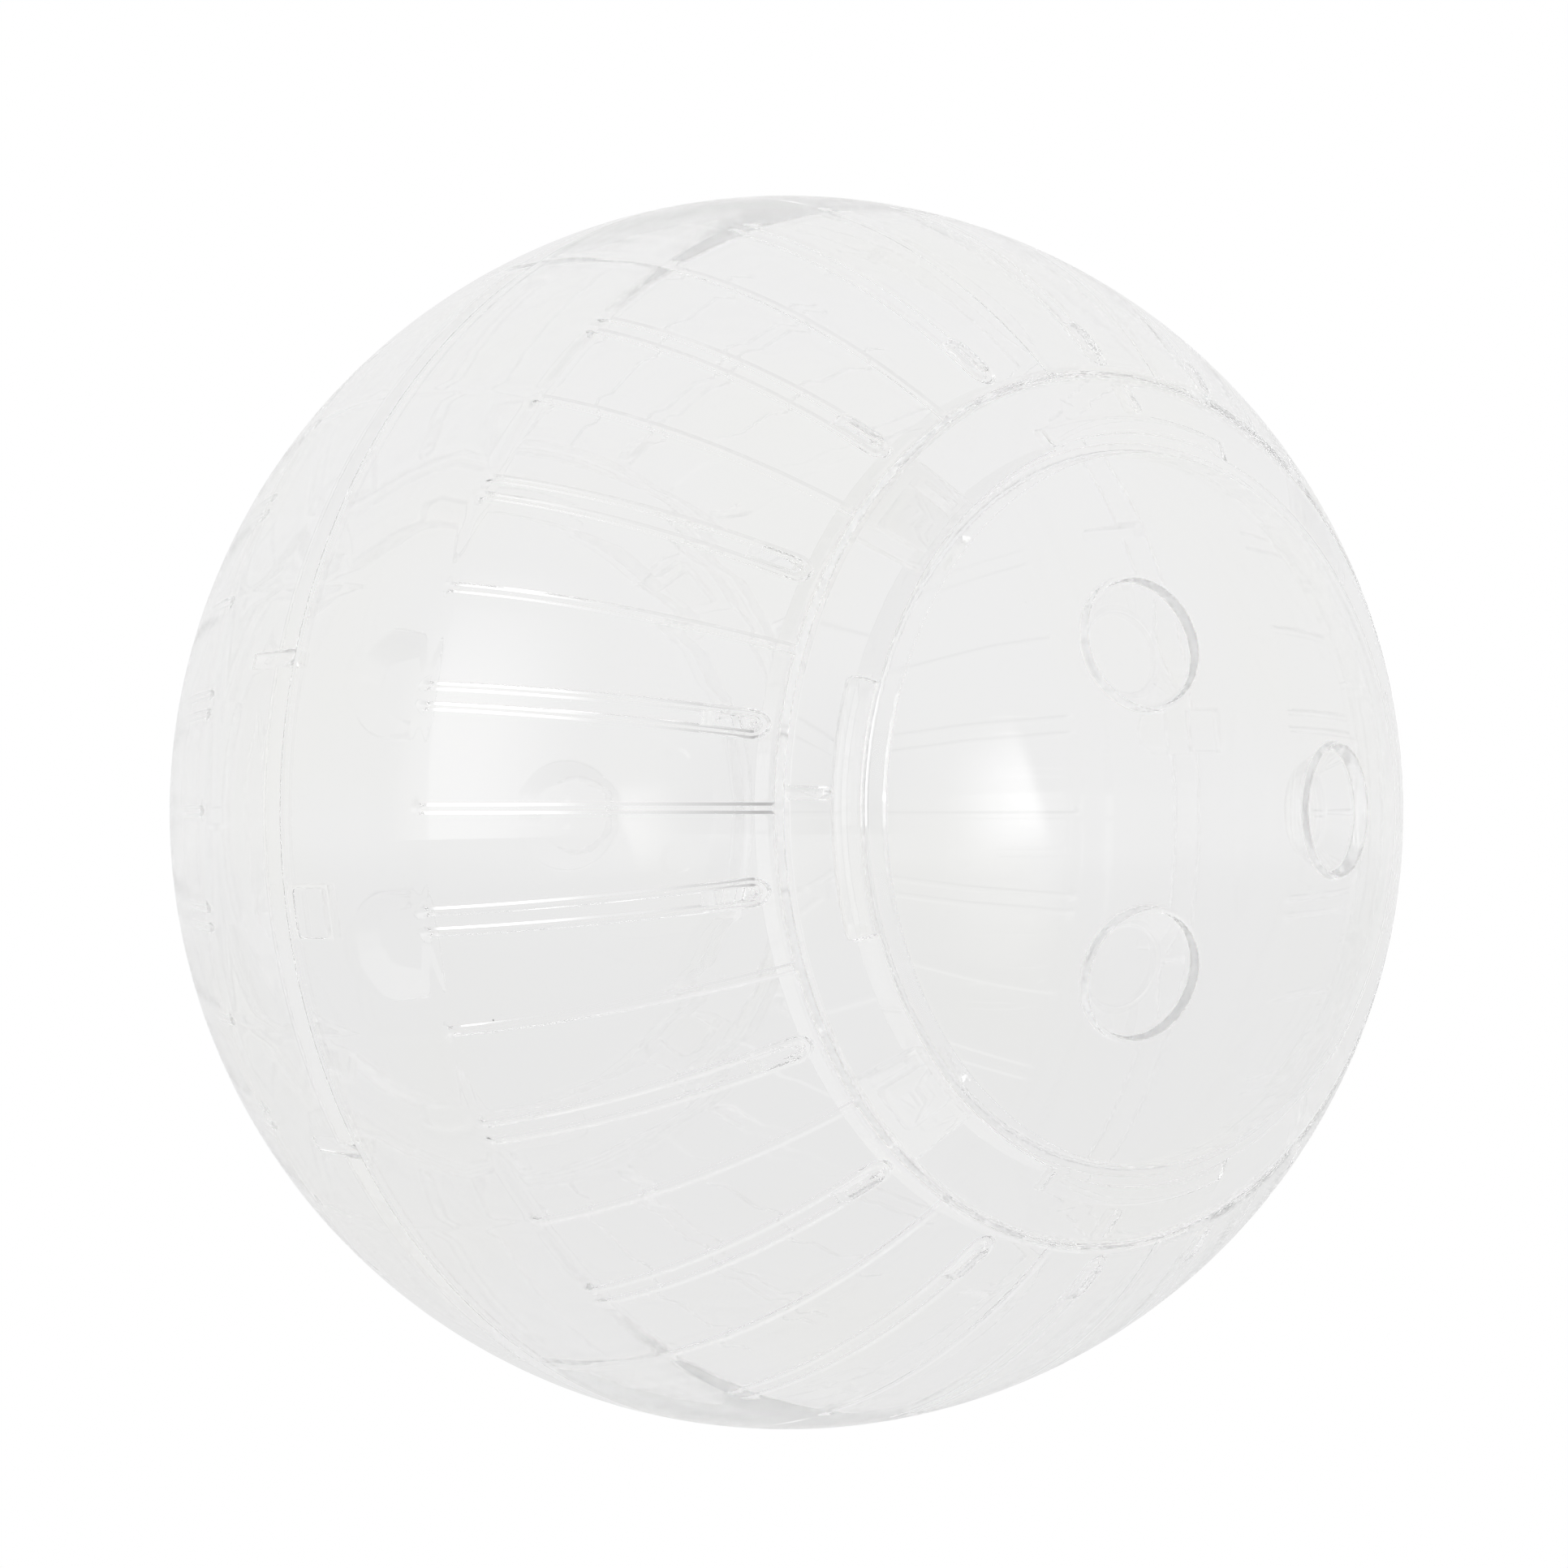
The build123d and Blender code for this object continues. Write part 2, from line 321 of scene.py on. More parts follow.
def block(bm, corners, sweep, middle, bevel):
    """A solid of the profile's outline swept about the door's axis, with softened edges."""
    steps = max(2, math.ceil(sweep / BLOCK_STEP))
    start = Matrix.Rotation(middle - sweep / 2, 3, "Z")
    verts = [bm.verts.new(start @ turned(corner, 0)) for corner in corners]
    edges = [bm.edges.new(pair) for pair in zip(verts, verts[1:] + verts[:1])]
    swept = bmesh.ops.spin(bm, geom=verts + edges, angle=sweep, steps=steps, axis=(0, 0, 1), cent=(0, 0, 0))
    ends = [e for e in swept["geom_last"] if isinstance(e, bmesh.types.BMEdge)]
    caps = bmesh.ops.contextual_create(bm, geom=edges)["faces"]
    caps += bmesh.ops.contextual_create(bm, geom=ends)["faces"]
    solid = {f for v in verts for f in linked_faces(v)}
    bmesh.ops.recalc_face_normals(bm, faces=list(solid))
    sharp = {e for f in solid for e in f.edges if e.calc_face_angle(0) > SHARP_EDGE}
    bmesh.ops.bevel(
        bm,
        geom=list(sharp),
        offset=bevel,
        segments=BLOCK_BEVEL_STEPS,
        profile=0.5,
        affect="EDGES",
        material=-1,
        clamp_overlap=True,
    )


def linked_faces(vert):
    """All faces of the solid that a vertex belongs to."""
    found = set(vert.link_faces)
    edge = list(found)
    while edge:
        near = {f for face in edge for v in face.verts for f in v.link_faces} - found
        found |= near
        edge = list(near)
    return found


def four_round(bm, corners, sweep, first, bevel):
    """Four like blocks, evenly spaced about the door's axis."""
    for k in range(LOCK_COUNT):
        block(bm, corners, sweep, first + math.tau * k / LOCK_COUNT, bevel)


def prism(bm, outline, reach):
    """A solid made by moving a flat outline along a vector."""
    face = bm.faces.new([bm.verts.new(point) for point in outline])
    made = bmesh.ops.extrude_face_region(bm, geom=[face])["geom"]
    far = [item for item in made if isinstance(item, bmesh.types.BMVert)]
    bmesh.ops.translate(bm, vec=reach, verts=far)


def layer(outer, inner, low, high):
    """Profile between two spheres, and between two distances from the door's axis."""
    return [on_sphere(outer, low), on_sphere(outer, high), on_sphere(inner, high), on_sphere(inner, low)]


def oblong(near, far, low, high):
    """Profile between two distances from the door's axis and two heights above the seam."""
    return [Vector((near, low)), Vector((far, low)), Vector((far, high)), Vector((near, high))]


def combine(piece, bm, operation):
    """Adds the blocks to a piece, or cuts them from it."""
    mesh = bpy.data.meshes.new("blocks")
    bm.to_mesh(mesh)
    bm.free()
    tool = bpy.data.objects.new("blocks", mesh)
    bpy.context.scene.collection.objects.link(tool)
    modifier = piece.modifiers.new(operation.lower(), "BOOLEAN")
    modifier.operation = operation
    modifier.solver = "MANIFOLD"
    modifier.object = tool
    bpy.context.view_layer.update()
    evaluated = piece.evaluated_get(bpy.context.evaluated_depsgraph_get())
    result = bpy.data.meshes.new_from_object(evaluated)
    piece.modifiers.remove(modifier)
    piece.data = result
    bpy.data.objects.remove(tool)


def new_piece(name, bm):
    """An object from the mesh, with its faces turned outwards."""
    bmesh.ops.recalc_face_normals(bm, faces=bm.faces)
    mesh = bpy.data.meshes.new(name)
    bm.to_mesh(mesh)
    bm.free()
    piece = bpy.data.objects.new(name, mesh)
    bpy.context.scene.collection.objects.link(piece)
    return piece


def true_radii():
    """Radii of the moulding's true spheres about the ball's centre, and of its cylinders about the door's axis."""
    shell = bpy.context.scene.hamster_ball.shell
    door = bpy.context.scene.hamster_ball.door
    ribs = shell.panel_radius - shell.rib_height
    spheres = (shell.ball_radius, shell.panel_radius, ribs, shell.inner_radius, shell.seat_top, shell.seat_bottom)
    spheres += (door.lug_top, door.lug_bottom, door.skirt_foot)
    cylinders = (shell.rim_wall, shell.recess_radius, shell.mouth_radius, shell.claw_tip_radius, shell.inner_radius)
    cylinders += (shell.lip_radius, shell.rebate_radius, door.door_radius, door.skirt_radius, door.skirt_inside)
    return spheres, cylinders


def true_normals(mesh):
    """Smooth shading in which the broad faces follow the true spheres and cylinders of the moulding."""
    mesh.shade_smooth()
    mesh.set_sharp_from_angle(angle=SHARP_EDGE)
    spheres, cylinders = true_radii()
    close = math.cos(TRUE_FACE)
    facing = [Vector(corner.vector) for corner in mesh.corner_normals]
    truths = []
    for vertex in mesh.vertices:
        sideways = Vector((vertex.co.x, 0, vertex.co.z))
        true = []
        for direction, radii in ((vertex.co, spheres), (sideways, cylinders)):
            size = direction.length
            if any(abs(size - radius) < NEAR_RADIUS for radius in radii):
                true += [direction / size, -direction / size]
        truths.append(true)
    for loop in mesh.loops:
        for true in truths[loop.vertex_index]:
            if facing[loop.index].dot(true) > close:
                facing[loop.index] = true
    mesh.normals_split_custom_set(facing)


def dress(piece, place, node, material):
    """Turns a finished moulding to its side of the ball and ties it to the frame."""
    piece.data.transform(place)
    piece.data.name = piece.name
    true_normals(piece.data)
    piece.data.materials.clear()
    piece.data.materials.append(material)
    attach(piece, frame["nodes"][node]["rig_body"])
    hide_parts(node)


# Half shells

HALF_PITCH = math.pi / RIB_COUNT
FIELD_AZIMUTHS = tuple(HALF_PITCH * share for share in (0.13, 0.17, 0.22, 0.28, 0.36, 0.5))
GAP_STEPS = 5
TURN_STEPS = 8
TURN_SIDE_STEPS = 3
PANEL_ROWS = 11
BELT_ROWS = 5
OUTER_ROWS = 24


class RibPlan:
    """Where the ribs of a half shell stand, as distances from their centre lines and heights over the thin field."""

    def __init__(self, shell):
        self.shell = shell
        self.edge = shell.rib_slope
        self.outer = shell.hairpin_width / 2
        self.inner = self.outer - shell.hairpin_rail
        self.rib = [0, shell.rib_width / 2 - self.edge, shell.rib_width / 2 + self.edge]
        self.pin = [self.outer + self.edge, self.outer - self.edge, self.inner + self.edge, self.inner - self.edge]
        self.pin += [self.pin[-1] / 2, 0]
        self.rim_foot = shell.rim_radius + self.edge

    def lift(self, plan):
        """Height above the seam."""
        return math.sqrt(self.shell.ball_radius**2 - plan**2)

    def rib_height(self, offset):
        """Height of a single rib at a distance from its centre line."""
        return self.shell.rib_height * straight(offset - self.shell.rib_width / 2, self.edge)

    def pin_height(self, offset):
        """Height of a hairpin's rail at a distance from its centre line."""
        rail = straight(offset - self.outer, self.edge) - straight(offset - self.inner, self.edge)
        return self.shell.rib_height * rail

    def belt_height(self, plan):
        """The belt's extra thickness, which it loses towards its edge."""
        shell = self.shell
        lift = self.lift(plan)
        draft = 1 - shell.belt_draft * lift / shell.belt_half_width
        extra = (shell.panel_radius - shell.inner_radius) * draft
        return extra * swell(lift - shell.belt_half_width, shell.belt_edge)

    def web(self, plan, distance):
        """The wall's soft swelling at a distance from the foot of a rib."""
        shell = self.shell
        share = 1 - min(max(distance, 0) / shell.web_width, 1)
        start = min(max((plan - shell.hairpin_centre) / shell.web_width, 0), 1)
        end = 1 - swell(self.lift(plan) - shell.belt_half_width, shell.belt_edge)
        return shell.web_height * share**2 * start * end

    def field_web(self, plan, azimuth):
        """The same between a rib and a hairpin."""
        from_rib = plan * azimuth - self.rib[-1]
        from_pin = plan * (HALF_PITCH - azimuth) - self.pin[0]
        return self.web(plan, from_rib) + self.web(plan, from_pin)

    def rib_share(self, plan, overrun=0):
        """One along a rib, and nothing where it has run out over the belt."""
        return 1 - swell(self.lift(plan) - self.shell.belt_half_width + overrun, self.shell.rib_end)

    def place(self, plan, azimuth, height):
        """A point at a height over the thin field, in the direction of a plan distance on the ball."""
        direction = turned(on_sphere(self.shell.ball_radius, plan), azimuth).normalized()
        return direction * (self.shell.panel_radius - height)

    def pin_spot(self, offset, turn):
        """Plan distance and azimuth at the hairpin's round end, for a turn about its centre."""
        along = self.shell.hairpin_centre - offset * math.sin(turn)
        across = offset * math.cos(turn)
        return Vector((math.hypot(along, across), HALF_PITCH - math.atan2(across, along)))


def upper_row(ribs, plan):
    """A row of points from a rib's centre line to a hairpin's, over the belt and the straight ribs."""
    shell = ribs.shell
    belt = ribs.belt_height(plan)
    base = belt + ribs.web(plan, 0)
    share = ribs.rib_share(plan)
    whole = share + (1 - share) * shell.belt_line / shell.rib_height
    row = [ribs.place(plan, math.atan2(offset, plan), base + whole * ribs.rib_height(offset)) for offset in ribs.rib]
    row += [ribs.place(plan, azimuth, belt + ribs.field_web(plan, azimuth)) for azimuth in FIELD_AZIMUTHS]
    near = Vector((plan, FIELD_AZIMUTHS[-1]))
    if plan <= shell.hairpin_centre:
        spots = [ribs.pin_spot(offset, 0) for offset in ribs.pin]
    else:
        spots = [Vector((plan, HALF_PITCH - math.asin(offset / plan))) for offset in ribs.pin]
    for k in range(1, GAP_STEPS):
        spot = near.lerp(spots[0], k / GAP_STEPS)
        row.append(ribs.place(spot.x, spot.y, belt + ribs.field_web(plan, spot.y)))
    share = ribs.rib_share(plan, shell.hairpin_end)
    return row + [ribs.place(s.x, s.y, base + share * ribs.pin_height(o)) for o, s in zip(ribs.pin, spots)]


def upper_rows(ribs, seam):
    """Rows from the seam up the inside of the belt and along the panel to the round ends of the hairpins."""
    shell = ribs.shell
    ball = shell.ball_radius
    start = seam[-1].y * ball / shell.inner_radius
    edge_low = shell.belt_half_width - shell.belt_edge
    edge_high = shell.belt_half_width + shell.belt_edge
    lifts = spread(start, edge_low, BELT_ROWS)[:-1] + spread(edge_low, edge_high, SIDE_STEPS)
    rows = [upper_row(ribs, math.sqrt(ball**2 - lift**2)) for lift in lifts]
    azimuths = [math.atan2(point.y, point.x) for point in rows[0]]
    lip = [[turned(point, azimuth) for azimuth in azimuths] for point in rounded(seam, shell.seam_edge)[:-1]]
    first = math.asin(edge_high / ball)
    last = math.acos(shell.hairpin_centre / ball)
    for tilt in spread(first, last, PANEL_ROWS)[1:-1]:
        rows.append(upper_row(ribs, ball * math.cos(tilt)))
    return lip + rows + [upper_row(ribs, shell.hairpin_centre)]


def hairpin_turn(bm, ribs):
    """The round end of a hairpin, and the field around it down to the foot of the rim."""
    shell = ribs.shell
    turns = spread(0, math.pi / 2, TURN_STEPS)
    rows = []
    for turn in turns:
        spots = [ribs.pin_spot(offset, turn) for offset in ribs.pin]
        rows.append([ribs.place(s.x, s.y, ribs.pin_height(o)) for s, o in zip(spots, ribs.pin)])
    skin(bm, rows)
    side = FIELD_AZIMUTHS[-1]
    plans = spread(shell.hairpin_centre, ribs.rim_foot, TURN_SIDE_STEPS)
    border = [Vector((plan, side)) for plan in plans]
    border += [Vector((ribs.rim_foot, azimuth)) for azimuth in lower_azimuths(ribs)[-(TURN_STEPS - TURN_SIDE_STEPS):]]
    rows = []
    for k in range(GAP_STEPS + 1):
        spots = [b.lerp(ribs.pin_spot(ribs.pin[0], t), k / GAP_STEPS) for b, t in zip(border, turns)]
        rows.append([ribs.place(s.x, s.y, 0) for s in spots])
    skin(bm, rows)
    rows = []
    for plan in plans:
        row = [ribs.place(plan, math.atan2(o, plan), ribs.rib_height(o)) for o in ribs.rib]
        rows.append(row + [ribs.place(plan, azimuth, 0) for azimuth in FIELD_AZIMUTHS])
    skin(bm, rows)


def lower_azimuths(ribs):
    """Azimuths of the points along the foot of the rim."""
    along_rib = [math.atan2(offset, ribs.rim_foot) for offset in ribs.rib]
    rest = spread(FIELD_AZIMUTHS[-1], HALF_PITCH, TURN_STEPS - TURN_SIDE_STEPS)[1:]
    return along_rib + list(FIELD_AZIMUTHS) + rest


def lower_rows(ribs):
    """Rows from the ends of the ribs round the door's seat, and down the outside of the ball to the seam."""
    shell = ribs.shell
    azimuths = lower_azimuths(ribs)
    heights = [ribs.rib_height(offset) for offset in ribs.rib]
    heights += [0] * (len(azimuths) - len(heights))
    foot = Vector((ribs.rim_foot, on_sphere(shell.ball_radius, ribs.rim_foot).y))
    corners = [
        scaled(foot, shell.panel_radius),
        on_sphere(shell.panel_radius, shell.rim_wall),
        on_sphere(shell.seat_bottom, shell.rim_wall),
        on_sphere(shell.seat_bottom, shell.mouth_radius),
        on_sphere(shell.seat_top, shell.mouth_radius),
        on_sphere(shell.seat_top, shell.recess_radius),
        on_sphere(shell.ball_radius, shell.recess_radius),
    ]
    first = math.asin(shell.recess_radius / shell.ball_radius)
    tilts = spread(first, math.pi / 2 - (shell.seam_gap + shell.seam_edge) / shell.ball_radius, OUTER_ROWS)[1:]
    outside = [Vector((math.sin(tilt), math.cos(tilt))) * shell.ball_radius for tilt in tilts]
    profile = rounded(corners + outside[:1], shell.corner_round)
    rows = []
    for k, point in enumerate(profile):
        if k <= CORNER_STEPS + 1:
            tops = [scaled(point, min(point.length, shell.panel_radius - height)) for height in heights]
        else:
            tops = [point] * len(azimuths)
        rows.append([turned(top, azimuth) for top, azimuth in zip(tops, azimuths)])
    seam = []
    for turn in spread(math.pi / 2, 0, CORNER_STEPS)[1:]:
        height = shell.seam_gap + shell.seam_edge * (1 - math.cos(turn))
        seam.append(Vector((shell.ball_radius - shell.seam_edge * (1 - math.sin(turn)), height)))
    return rows + [[turned(point, azimuth) for azimuth in azimuths] for point in outside[1:] + seam]


def front_seam(shell):
    """Profile of the front half's lap lip."""
    return [
        Vector((shell.lip_radius, shell.seam_gap)),
        Vector((shell.lip_radius, -shell.lip_length)),
        Vector((shell.inner_radius, -shell.lip_length)),
        Vector((shell.inner_radius, 0)),
    ]


def rear_seam(shell):
    """Profile of the rear half's rebate."""
    return [
        Vector((shell.rebate_radius, shell.seam_gap)),
        Vector((shell.rebate_radius, shell.rebate_depth)),
        on_sphere(shell.inner_radius, math.sqrt(shell.inner_radius**2 - shell.rebate_depth**2)),
    ]


def half_shell(name, seam):
    """A half of the ball: belt, ribbed panel, rim, seat, claws and vents."""
    shell = bpy.context.scene.hamster_ball.shell
    ribs = RibPlan(shell)
    bm = bmesh.new()
    skin(bm, upper_rows(ribs, seam(shell)))
    hairpin_turn(bm, ribs)
    skin(bm, lower_rows(ribs))
    bmesh.ops.remove_doubles(bm, verts=bm.verts, dist=WELD)
    repeat_round(bm, RIB_COUNT)
    bmesh.ops.bridge_loops(bm, edges=[edge for edge in bm.edges if edge.is_boundary])
    piece = new_piece(name, bm)
    combine(piece, claws(shell), "UNION")
    combine(piece, vents(shell, ribs), "DIFFERENCE")
    return piece


TONGUE_PLACE = math.radians(9)
KEY_PLACE = math.radians(22.3)
KEY_ANGLE = math.radians(1.45)
NOTCH_ANGLE = math.radians(1.85)
NOTCH_REACH = 0.0066


def tongues(shell):
    """The snap tongues of the front half: round-ended blades past the seam, and the blocks that hold them."""
    half = shell.tongue_width / 2
    outside = shell.tongue_inside + shell.tongue_wall
    blades = bmesh.new()
    end = half - shell.tongue_reach
    turns = spread(0, math.pi, OUTLINE_STEPS)
    outline = [Vector((shell.tongue_inside, half * math.cos(t), end - half * math.sin(t))) for t in turns]
    outline += [Vector((shell.tongue_inside, side, shell.tongue_root)) for side in (-half, half)]
    for k in range(LOCK_COUNT):
        turn = Matrix.Rotation(TONGUE_PLACE + math.tau * k / LOCK_COUNT, 3, "Z")
        prism(blades, [turn @ point for point in outline], turn @ Vector((outside - shell.tongue_inside, 0, 0)))
    bmesh.ops.recalc_face_normals(blades, faces=blades.faces)
    roots = bmesh.new()
    wall = shell.inner_radius + BITE
    low = shell.corner_round
    root = oblong(outside - BITE, wall, low, shell.tongue_root - low)
    four_round(roots, root, (shell.tongue_width - BITE) / wall, TONGUE_PLACE, 2 * BITE)
    return blades, roots


def key_notches(shell):
    """Notches in the front half's lip, to be cut for the keys."""
    bm = bmesh.new()
    notch = oblong(shell.key_inside - BITE, shell.rebate_radius, 0, -NOTCH_REACH)
    for side in (-1, 1):
        four_round(bm, notch, NOTCH_ANGLE, TONGUE_PLACE + side * KEY_PLACE, shell.seam_edge)
    return bm


def keys(shell):
    """Keys of the rear half, which stand in the notches beside each tongue."""
    bm = bmesh.new()
    low = shell.corner_round
    wall = shell.inner_radius + BITE
    top = on_sphere(wall, math.sqrt(wall**2 - shell.key_height**2))
    key = [
        Vector((shell.key_inside, low)),
        Vector((shell.key_outside, low)),
        Vector((shell.key_outside, shell.rebate_depth)),
        top,
        Vector((shell.key_inside, shell.key_height)),
    ]
    for side in (-1, 1):
        four_round(bm, key, KEY_ANGLE, -TONGUE_PLACE + side * KEY_PLACE, shell.corner_round)
    return bm


CLAW_ANGLE = math.radians(15)
STOP_ANGLE = math.radians(1.85)
STOP_PLACE = math.radians(-5.3)
SET_IN = 0.00005
STOP_BOTTOM = 0.083
STOP_REACH = 0.0535


def claws(shell):
    """The four claws of the seat, each with a stop under one end."""
    bm = bmesh.new()
    top = shell.seat_top - SET_IN
    bottom = shell.seat_bottom + SET_IN
    arm = layer(top, bottom, shell.claw_tip_radius, shell.mouth_radius + BITE)
    four_round(bm, arm, CLAW_ANGLE, math.pi / 4, shell.corner_round)
    stop = layer(bottom + BITE, STOP_BOTTOM, shell.claw_tip_radius + BITE, STOP_REACH)
    stops = bmesh.new()
    four_round(stops, stop, STOP_ANGLE, math.pi / 4 + STOP_PLACE, shell.corner_round)
    holder = new_piece("claws", bm)
    combine(holder, stops, "UNION")
    joined = bmesh.new()
    joined.from_mesh(holder.data)
    bpy.data.objects.remove(holder)
    return joined


VENT_STEPS = 12
VENT_LOW = 0.6
VENT_HIGH = 0.8


def vents(shell, ribs):
    """Round-ended slots, to be cut through the wall along the door's axis."""
    bm = bmesh.new()
    half = ribs.inner
    low = shell.inner_radius * VENT_LOW
    high = shell.ball_radius * VENT_HIGH
    centre = shell.hairpin_centre
    far = centre - half + shell.vent_length
    turns = spread(0, math.pi, VENT_STEPS)
    outline = [Vector((centre - half * math.sin(t), half * math.cos(t), low)) for t in turns]
    outline += [Vector((far, -half, low)), Vector((far, half, low))]
    for k in range(RIB_COUNT):
        turn = Matrix.Rotation(HALF_PITCH * (2 * k + 1), 3, "Z")
        prism(bm, [turn @ point for point in outline], (0, 0, high - low))
    bmesh.ops.recalc_face_normals(bm, faces=bm.faces)
    return bm


class HALF_OT_build(bpy.types.Operator):
    """Build the two ribbed half shells"""

    bl_idname = "hamster_ball.half_shells"
    bl_label = "Half Shells"

    def execute(self, context):
        material = clear_plastic()
        shell = context.scene.hamster_ball.shell
        front = half_shell("front_shell_moulding", front_seam)
        combine(front, key_notches(shell), "DIFFERENCE")
        for blocks in tongues(shell):
            combine(front, blocks, "UNION")
        dress(front, FRONT, "front_half_shell", material)
        rear = half_shell("rear_shell_moulding", rear_seam)
        combine(rear, keys(shell), "UNION")
        dress(rear, REAR, "rear_half_shell", material)
        return {"FINISHED"}


# Doors

CUP_COUNT = 3
CUP_SECTOR = math.pi / CUP_COUNT
FIELD_LOW = 0.013
FIELD_HIGH = 0.040
FIELD_STEPS = 9
SIDE_ROWS = 10
RING_STEPS = 4
POLE_ROWS = 5


def direction(plan, azimuth, radius):
    """Unit direction of a plan distance on the ball."""
    return turned(on_sphere(radius, plan), azimuth).normalized()


def cup_border(radius):
    """Directions round the field of one half of a finger cup, from its outer side to the pole's."""
    half = CUP_SECTOR / 2
    border = [direction(FIELD_HIGH, a, radius) for a in spread(0, half, FIELD_STEPS)]
    border += [direction(plan, half, radius) for plan in spread(FIELD_HIGH, FIELD_LOW, SIDE_ROWS)[1:]]
    border += [direction(FIELD_LOW, a, radius) for a in spread(half, 0, FIELD_STEPS)[1:]]
    return border


def cup_half(bm, door, ball, radius, corners):
    """One half of a finger cup and the dome around it, from the cup's profile about its own axis."""
    tilt = Matrix.Rotation(math.asin(door.cup_circle / ball), 3, "Y")
    border = cup_border(ball)
    turns = spread(0, math.pi, len(border) - 1)
    profile = rounded(corners, door.cup_lip)
    rings = [[tilt @ turned(point, turn) for turn in turns] for point in profile]
    rows = []
    for k in range(RING_STEPS):
        row = [b.lerp(p.normalized(), k / RING_STEPS) for b, p in zip(border, rings[0])]
        rows.append([point.normalized() * radius for point in row])
    skin(bm, rows + rings)


def dome_patches(bm, ball, radius):
    """The plain parts of the dome, between the cups and round the pole."""
    half = CUP_SECTOR / 2
    between = spread(half, CUP_SECTOR, FIELD_STEPS)
    plans = spread(FIELD_HIGH, FIELD_LOW, SIDE_ROWS)
    skin(bm, [[direction(plan, a, ball) * radius for a in between] for plan in plans])
    whole = spread(0, half, FIELD_STEPS) + between[1:]
    plans = spread(FIELD_LOW, 0, POLE_ROWS)
    skin(bm, [[direction(plan, a, ball) * radius for a in whole] for plan in plans])


def door_edge(bm, shell, door):
    """The outer part of the dome, its edge, and the skirt ring under it."""
    ball = shell.ball_radius
    inner = shell.inner_radius
    start = on_sphere(ball, FIELD_HIGH)
    corners = [
        on_sphere(ball, (FIELD_HIGH + 2 * door.door_radius) / 3),
        on_sphere(ball, door.door_radius),
        on_sphere(inner, door.door_radius),
        on_sphere(inner, door.skirt_radius),
        on_sphere(door.skirt_foot, door.skirt_radius),
        on_sphere(door.skirt_foot, door.skirt_inside),
        on_sphere(inner, door.skirt_inside),
        scaled(start, inner),
    ]
    profile = [start, on_sphere(ball, (2 * FIELD_HIGH + door.door_radius) / 3)] + rounded(corners, door.corner_round)
    azimuths = spread(0, CUP_SECTOR, 2 * FIELD_STEPS)
    skin(bm, [[turned(point, azimuth) for azimuth in azimuths] for point in profile])


PAD_ANGLE = math.radians(38)
LUG_ANGLE = math.radians(8)
RIB_PLACE = math.radians(-2)
PAD_BEVEL = 0.0008
LUG_BEVEL = 0.0004
RIB_BEVEL = 0.0006


def door_blocks(shell, door):
    """Pads, lugs and centring ribs under the door."""
    inner = shell.inner_radius + BITE
    inside = door.skirt_radius - BITE
    pads = bmesh.new()
    pad = layer(inner, shell.seat_bottom, inside, door.pad_radius)
    pad[1] = on_sphere(inner, door.pad_radius + shell.rib_height)
    four_round(pads, pad, PAD_ANGLE, 0, PAD_BEVEL)
    lugs = bmesh.new()
    lug = layer(door.lug_top, door.lug_bottom, inside, door.lug_tip_radius)
    four_round(lugs, lug, LUG_ANGLE, math.pi / 4, LUG_BEVEL)
    ribs = bmesh.new()
    sweep = door.rib_width / door.rib_outside
    rib = layer(inner, shell.seat_bottom, door.rib_inside, door.rib_outside)
    four_round(ribs, rib, sweep, RIB_PLACE, RIB_BEVEL)
    return pads, lugs, ribs


def door_moulding(name):
    """The round door: dome with three finger cups, skirt ring, pads, lugs and centring ribs."""
    shell = bpy.context.scene.hamster_ball.shell
    door = bpy.context.scene.hamster_ball.door
    ball = shell.ball_radius
    inner = shell.inner_radius
    lip = on_sphere(ball, door.cup_mouth)
    floor = lip.y - door.cup_depth
    outside = [
        on_sphere(ball, door.cup_mouth + 2 * door.cup_lip),
        lip,
        Vector((door.cup_floor, floor)),
        Vector((0, floor)),
    ]
    wall = door.cup_wall
    slope = (door.cup_mouth - door.cup_floor) / door.cup_depth
    across = wall * math.hypot(1, slope)
    under_lip = door.cup_mouth + across - slope * (ball - inner)
    inside = [
        on_sphere(inner, under_lip + 2 * door.cup_lip),
        on_sphere(inner, under_lip),
        Vector((door.cup_floor + across - slope * wall, floor - wall)),
        Vector((0, floor - wall)),
    ]
    bm = bmesh.new()
    cup_half(bm, door, ball, ball, outside)
    cup_half(bm, door, ball, inner, inside)
    dome_patches(bm, ball, ball)
    dome_patches(bm, ball, inner)
    door_edge(bm, shell, door)
    bmesh.ops.remove_doubles(bm, verts=bm.verts, dist=WELD)
    repeat_round(bm, CUP_COUNT)
    bmesh.ops.rotate(bm, cent=(0, 0, 0), matrix=Matrix.Rotation(CUP_SECTOR, 3, "Z"), verts=bm.verts)
    piece = new_piece(name, bm)
    for blocks in door_blocks(shell, door):
        combine(piece, blocks, "UNION")
    return piece


class DOOR_OT_build(bpy.types.Operator):
    """Build the two doors with their finger cups"""

    bl_idname = "hamster_ball.doors"
    bl_label = "Doors"

    def execute(self, context):
        material = clear_plastic()
        dress(door_moulding("front_door_moulding"), FRONT, "front_door", material)
        dress(door_moulding("rear_door_moulding"), REAR, "rear_door", material)
        return {"FINISHED"}


# Plastic

STAIN_RANGE = (0.45, 0.7)
POLISH_RANGE = (0.3, 0.7)
SPECK_COLOUR = (0.2, 0.2, 0.19, 1)
SCRATCH_STRETCH = (1, 0.06, 0.4)
WAVES_PER_SCRATCH = 60


